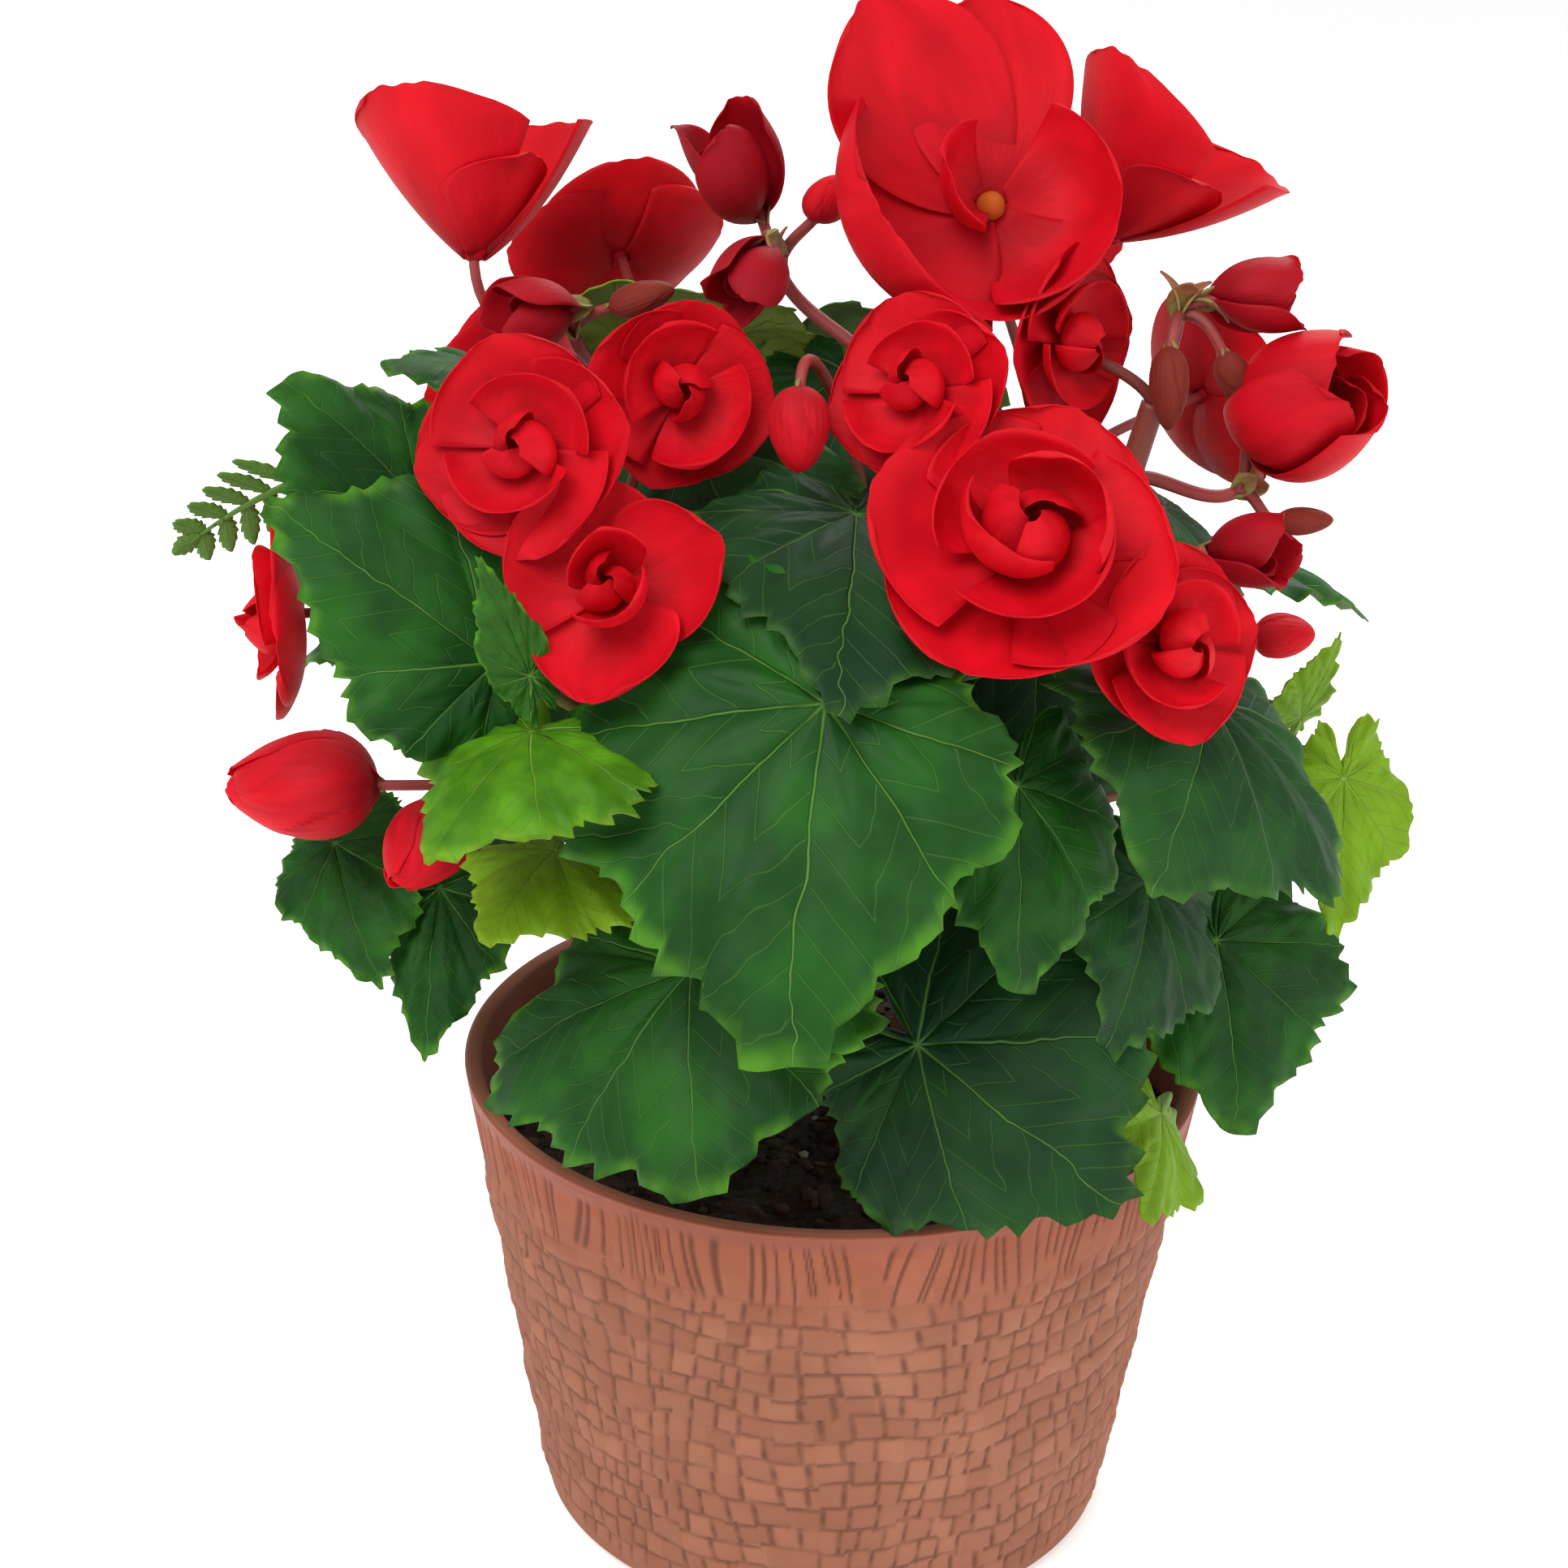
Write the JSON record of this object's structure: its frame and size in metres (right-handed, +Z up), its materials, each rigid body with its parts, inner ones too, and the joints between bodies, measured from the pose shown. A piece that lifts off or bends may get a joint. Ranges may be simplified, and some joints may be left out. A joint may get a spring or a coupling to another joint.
{
  "type": "potted begonia",
  "caption": "Bushy begonia with double red flowers and toothed green leaves, growing in a tapered clay pot with a woven relief.",
  "frame": {"origin": "centre of the pot's flat base", "axes": "+Z up from the base, -Y towards the front, where the largest leaf hangs over the rim"},
  "size_m": [0.2304, 0.2129, 0.3009],
  "materials": {
    "pot_clay": "matte",
    "soil": "matte",
    "stem": "satin",
    "leaf": "satin",
    "young_leaf": "satin",
    "petal": "satin"
  },
  "bodies": {
    "root": {"pot": "pot_clay", "soil": "soil", "stem_1": "stem", "stem_2": "stem", "stem_3": "stem", "stem_4": "stem", "stem_5": "stem", "bloom_01": "petal", "bloom_02": "petal", "bloom_03": "petal", "bloom_04": "petal", "bloom_05": "petal", "bloom_06": "petal", "bloom_07": "petal", "bloom_08": "petal", "bloom_09": "petal", "bloom_10": "petal", "bloom_11": "petal", "bloom_12": "petal", "bloom_13": "petal", "bloom_14": "petal", "bloom_15": "petal", "bloom_16": "petal", "bloom_17": "petal", "bud_01": "petal", "bud_02": "petal", "bud_03": "petal", "bud_04": "petal", "bud_05": "petal", "bud_06": "petal", "leaf_01": "leaf", "leaf_02": "leaf", "leaf_03": "leaf", "leaf_04": "leaf", "leaf_05": "leaf", "leaf_06": "leaf", "leaf_07": "leaf", "leaf_08": "young_leaf", "leaf_09": "young_leaf", "leaf_10": "leaf", "leaf_11": "leaf", "leaf_12": "leaf", "leaf_13": "young_leaf", "leaf_14": "leaf", "leaf_15": "leaf", "leaf_16": "young_leaf", "leaf_17": "leaf", "leaf_18": "leaf", "leaf_19": "young_leaf", "leaf_20": "leaf", "leaf_21": "leaf", "leaf_22": "young_leaf", "leaf_23": "leaf", "leaf_24": "leaf", "leaf_25": "leaf", "leaf_26": "leaf", "leaf_27": "leaf", "leaf_28": "leaf", "leaf_29": "leaf", "leaf_30": "leaf"}
  },
  "joints": []
}
